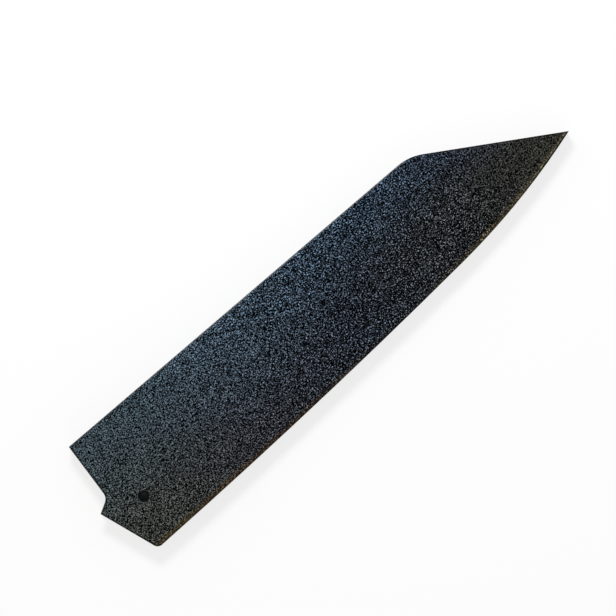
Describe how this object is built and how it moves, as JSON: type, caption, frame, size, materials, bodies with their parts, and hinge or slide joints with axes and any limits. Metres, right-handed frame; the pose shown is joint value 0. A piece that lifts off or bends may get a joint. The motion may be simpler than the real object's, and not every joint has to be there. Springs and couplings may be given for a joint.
{
  "type": "knife blade guard",
  "caption": "Flat laminated wooden blade guard: a blade-shaped slot for a chef's knife with a clipped point, and a tapered peg behind the heel that keeps the blade in.",
  "frame": {"origin": "middle of the outline's box, on the back face that the guard lies on", "axes": "+X along the spine towards the point, +Y from the cutting edge towards the spine, +Z out of the front face"},
  "size_m": [0.2482, 0.0554, 0.011],
  "materials": {
    "lacquered_wood": "dark lacquer with a fine stone-like speckle, satin",
    "peg_wood": "black, oiled"
  },
  "bodies": {
    "sheath": {"front_board": "lacquered_wood", "back_board": "lacquered_wood", "spine_strip": "lacquered_wood", "point_strip": "lacquered_wood", "edge_strip": "lacquered_wood"},
    "peg": {"retaining_peg": "peg_wood"}
  },
  "joints": [
    {"name": "peg_slide", "type": "slide", "parent": "sheath", "child": "peg", "axis": [0, 0, 1], "range_m": [0, 0.016]}
  ]
}
